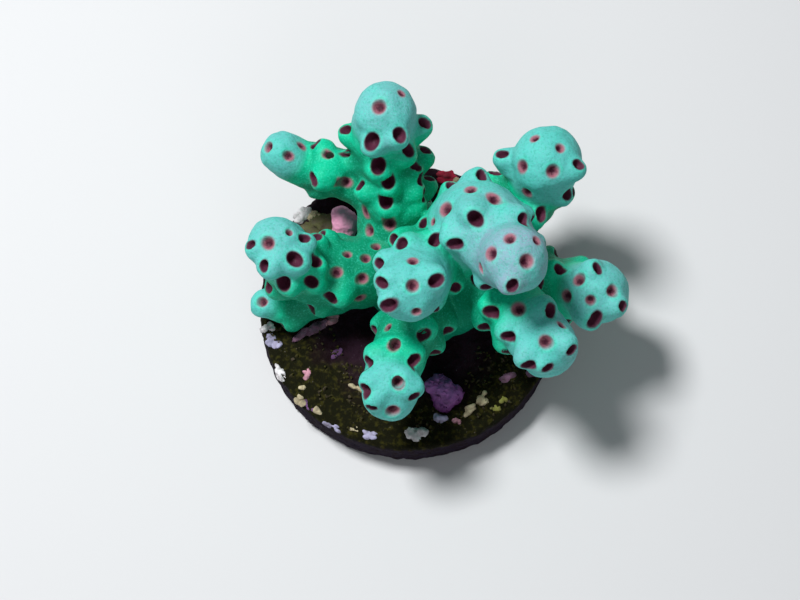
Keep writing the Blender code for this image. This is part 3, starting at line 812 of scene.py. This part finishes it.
def hollow_mouths(item):
    """Carves each mouth as a round-bottomed pit. A cup is open towards the tip, like a nest."""
    plugs = bmesh.new()
    for opening, normal, tip, radius, lip in MOUTHS:
        turn = mouth_frame(normal, tip).transposed()
        if lip < FLUSH:
            size = Matrix.Diagonal((radius * FLUSH_WIDE, radius * FLUSH_WIDE, FLUSH_DEEP, 1.0))
            bead(plugs, opening, 1.0, 3, turn.to_4x4() @ size)
            continue
        size = Matrix.Diagonal((radius * NEST_WIDE, radius * NEST_LONG, CUP_DEEP, 1.0))
        bead(plugs, opening + turn @ Vector((0.0, radius * NEST_SHIFT, 0.0)), 1.0, 3, turn.to_4x4() @ size)
    subtract(item, piece("plugs", plugs))


def keep_inside(item, box):
    """Draws in any point that smoothing left outside the part's own box."""
    low, high = (np.array(corner, np.float32) / MM for corner in box)
    place_points(item, np.clip(points_of(item), low + 0.02, high - 0.02))


def note(item, name, values, kind="FLOAT", field="value"):
    """Keeps one value, or one vector, for each point of the skin."""
    layer = item.data.attributes.new(name, kind, "POINT")
    layer.data.foreach_set(field, np.ascontiguousarray(values, np.float32).ravel())


def ease(values, low, high):
    """0 at the low end, 1 at the high one, smooth in between."""
    share = np.clip((values - low) / (high - low), 0.0, 1.0)
    return share * share * (3 - 2 * share)


def survey(item):
    """Notes for each point of the skin where it lies, and which piece each face belongs to."""
    points = points_of(item)
    openings = np.array([mouth[0] for mouth in MOUTHS], np.float32)
    frames = np.array([mouth_frame(mouth[1], mouth[2]) for mouth in MOUTHS], np.float32)
    nests = np.array([mouth[4] >= FLUSH for mouth in MOUTHS], np.float32)
    radii = np.array([mouth[3] for mouth in MOUTHS], np.float32)
    names = [TRUNK, *LIMBS]
    beads = [(centre, radius, place / (len(line) - 1), name)
             for name, line in LIMBS.items() for place, (centre, radius) in enumerate(line)]
    centres = np.array([entry[0] for entry in beads], np.float32)
    reaches = np.array([entry[1] for entry in beads], np.float32)
    owners = np.array([names.index(name) if share > ENDS[name][0] else 0 for _, _, share, name in beads])
    youths = np.array([ease(share, *ENDS[name][1:3]) for _, _, share, name in beads], np.float32)
    lilacs = np.array([ease(share, 0.25, 1.0) * ENDS[name][3] for _, _, share, name in beads], np.float32)
    place = np.empty((len(points), 3), np.float32)
    proud, young, lilac, nest = (np.empty(len(points), np.float32) for _ in range(4))
    owner = np.empty(len(points), np.int32)
    for low in range(0, len(points), 8000):
        some = slice(low, low + 8000)
        local = np.einsum("mij,nmj->nmi", frames, points[some, None] - openings[None])
        local[..., :2] /= radii[None, :, None]
        local[..., 1] -= NEST_SHIFT * nests[None]
        local[..., 0] /= 1 + (NEST_WIDE - 1) * nests[None]
        local[..., 1] /= 1 + (NEST_LONG - 1) * nests[None]
        gap = np.hypot(local[..., 0], local[..., 1]) + 0.5 * np.abs(local[..., 2])
        nearest = gap.argmin(axis=1)
        place[some] = local[np.arange(len(nearest)), nearest]
        nest[some] = nests[nearest]
        height = np.linalg.norm(points[some, None] - centres[None], axis=2) - reaches[None]
        under = height.argmin(axis=1)
        proud[some] = height[np.arange(len(under)), under]
        young[some] = youths[under]
        lilac[some] = lilacs[under]
        owner[some] = owners[under]
    across = np.hypot(place[:, 0], place[:, 1])
    edge = np.where(nest > 0.5, NEST_EDGE, FLUSH_EDGE)
    fade = np.where(nest > 0.5, NEST_FADE, FLUSH_FADE)
    note(item, "mouth", ease(across, edge + fade, edge) * ease(np.abs(place[:, 2] + 0.2), 1.6, 1.2))
    # The band round each mouth's rim, which the skin brightens as a painted highlight.
    note(item, "lip", ease(across, 1.9, 1.35) * ease(across, 0.95, 1.25) * ease(place[:, 2], -0.6, 0.0))
    note(item, "young", young)
    note(item, "lilac", lilac)
    note(item, "nest", nest)
    # How far the skin stands out from the bare limb; the skin's colour uses it to lay painted shade between
    # the cups.
    note(item, "proud", proud)
    note(item, "mouth_place", place, "FLOAT_VECTOR", "vector")
    corner = np.empty(len(item.data.polygons), np.int32)
    item.data.polygons.foreach_get("loop_start", corner)
    corners = np.empty(len(item.data.loops), np.int32)
    item.data.loops.foreach_get("vertex_index", corners)
    item.data.materials.clear()
    for name in names:
        item.data.materials.append(bpy.data.materials.new(name))
    item.data.polygons.foreach_set("material_index", owner[corners[corner]])


def heal(item):
    """Closes the openings that the parting left, with a fan of faces to each middle."""
    bm = bmesh.new()
    bm.from_mesh(item.data)
    for face in bm.faces:
        face.material_index = 0
    edges = [edge for edge in bm.edges if edge.is_boundary]
    caps = bmesh.ops.holes_fill(bm, edges=edges, sides=0)["faces"]
    bmesh.ops.poke(bm, faces=caps, center_mode="MEAN")
    bm.to_mesh(item.data)
    bm.free()


def skin_finish():
    # The skin colour is also fed to the emission, faintly: a painted glow standing in for the tissue's
    # fluorescence.
    material, tree, shader = finish_of(
        "living_skin", 0.58, Subsurface_Weight=0.1, Subsurface_Scale=0.6 * MM, Specular_IOR_Level=0.16,
        Emission_Strength=0.08)
    shader.inputs["Subsurface Radius"].default_value = (0.4, 1.0, 0.7)
    spot = node(tree, "ShaderNodeTexCoord", output=3)
    mouth = node(tree, "ShaderNodeAttribute", attribute_name="mouth", output=2)
    lip = node(tree, "ShaderNodeAttribute", attribute_name="lip", output=2)
    tip = node(tree, "ShaderNodeAttribute", attribute_name="young", output=2)
    nest = node(tree, "ShaderNodeAttribute", attribute_name="nest", output=2)
    proud = node(tree, "ShaderNodeAttribute", attribute_name="proud", output=2)
    lilac = node(tree, "ShaderNodeAttribute", attribute_name="lilac", output=2)
    right, up, out = axes_of(node(tree, "ShaderNodeAttribute", attribute_name="mouth_place", output=1))
    broad = grain(tree, spot, 0.22)
    fine = grain(tree, spot, 3.4, detail=3.0, rough=0.6)
    dots = grain(tree, spot, 5.5, detail=1.0)
    young = between(tip + (broad - 0.5) * 0.5, 0.25, 0.95)
    # Painted shade: the green darkens towards the bottom of the colony and on the bare limb between the
    # cups, less so towards the tips.
    low = between(axes_of(spot)[2] / MM, SHADE_FROM, SHADE_FULL) * 0.8
    green = mix(between(proud, -0.1, 1.3) * (1.0 - low), SKIN_SHADE_AND_FLECK, SKIN_GREEN)
    green = mix(between(tip, 0.0, 0.3), green, SKIN_GREEN)
    pale = mix(lilac * between(broad + (fine - 0.5) * 0.3, 0.2, 0.7), SKIN_TIP, SKIN_LILAC)
    colour = mix(young, green, pale)
    # Painted highlight: the band round each cup's rim is brightened towards a vivid green, partly the thin
    # rim tissue's own colour.
    colour = mix(lip * 0.3, colour, LIP_HIGHLIGHT_GREEN)
    colour = mix(between(dots, 0.50, 0.72) * 0.3, colour, SPINULE)
    colour = mix(between(fine, 0.50, 0.34) * 0.3, colour, SKIN_SHADE_AND_FLECK)
    # Painted shade in the mouths: each throat darkens towards its middle, shifted towards the limb's tip
    # where the upper wall shades it, partly the throat's own maroon; the cups take the darker, shaded copy
    # of the pink flesh.
    across = (right * right + (up - 0.25) * (up - 0.25)).math("SQRT")
    throat_and_pit_shade = between(across + (fine - 0.5) * 0.9, 1.05, 0.2)
    flesh_and_cup_shade = mix(nest, MOUTH_PINK, MOUTH_WINE_SHADED)
    throat = mix(throat_and_pit_shade, flesh_and_cup_shade, MOUTH_MAROON)
    colour = mix(mouth, colour, throat)
    feed(shader, "Base Color", colour)
    # Painted glow: the skin's own colour is emitted faintly.
    feed(shader, "Emission Color", colour)
    bumps(shader, fine + dots * 0.8, 0.5, 0.12)
    return material


coral = piece("colony", colony)
fuse(coral, SKIN_VOXEL, 26)
coral = outer_shell(coral)
undulate(coral)
hollow_mouths(coral)
fuse(coral, SKIN_VOXEL, 7)
saw_box(coral, (0, 0, 0), (0, 1, 0), (SAW_SPAN, SAW_SPAN, 2 * (DISC_THICK - FOOT_SINK)))
keep_inside(coral, cad_box)
survey(coral)
before = set(bpy.data.objects)
for item in bpy.context.selected_objects:
    item.select_set(False)
coral.select_set(True)
bpy.context.view_layer.objects.active = coral
bpy.ops.mesh.separate(type="MATERIAL")
skin = skin_finish()
for item in [coral, *(set(bpy.data.objects) - before)]:
    name = item.data.materials[0].name
    heal(item)
    item.name = name + "_skin"
    bpy.data.materials.remove(item.data.materials[0])
    item.data.materials.clear()
    item.data.materials.append(skin)
    smoothly(item)
    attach(item, "root")
    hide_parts(name)

# A plain pale floor, one soft light above on the left, a weaker one in front, and the camera at
# the viewing angle that the limbs were read from: nearly straight above, a little to the front.
EYE_FAR = 235.0
EYE_AIM = Vector((-1.0, 0.45, 5.0))
LENS = 100.0
FLOOR_HALF = 0.6
FLOOR_GREY = (0.62, 0.63, 0.64, 1)
STUDIO_GREY = (0.75, 0.8, 0.85, 1)
STUDIO_STRENGTH = 0.2

bm = bmesh.new()
bmesh.ops.create_grid(bm, x_segments=1, y_segments=1, size=FLOOR_HALF)
floor = piece("floor", bm)
pale, tree, shader = finish_of("pale_floor", 0.9)
shader.inputs["Base Color"].default_value = FLOOR_GREY
floor.data.materials.append(pale)


def soft_light(name, place, aim, size, watts):
    data = bpy.data.lights.new(name, "AREA")
    data.shape = "DISK"
    data.size = size
    data.energy = watts
    item = bpy.data.objects.new(name, data)
    item.location = place
    item.rotation_mode = "QUATERNION"
    item.rotation_quaternion = (Vector(place) - Vector(aim)).to_track_quat("Z", "Y")
    bpy.context.scene.collection.objects.link(item)


soft_light("key", (-0.11, 0.06, 0.29), (0.0, 0.0, 0.01), 0.08, 1.2)
soft_light("fill", (0.05, -0.25, 0.18), (0.0, 0.0, 0.01), 0.20, 0.12)
world = bpy.data.worlds.new("studio")
world.use_nodes = True
world.node_tree.nodes["Background"].inputs[0].default_value = STUDIO_GREY
world.node_tree.nodes["Background"].inputs[1].default_value = STUDIO_STRENGTH
bpy.context.scene.world = world
bpy.context.scene.view_settings.view_transform = "Standard"

eye = bpy.data.cameras.new("eye")
eye.lens = LENS
eye.sensor_width = 36.0
eye.clip_start = 0.01
eye.clip_end = 5.0
camera = bpy.data.objects.new("eye", eye)
camera.location = (EYE_AIM + TOWARD * EYE_FAR) * MM
camera.rotation_mode = "QUATERNION"
camera.rotation_quaternion = TOWARD.to_track_quat("Z", "Y")
bpy.context.scene.collection.objects.link(camera)
bpy.context.scene.camera = camera
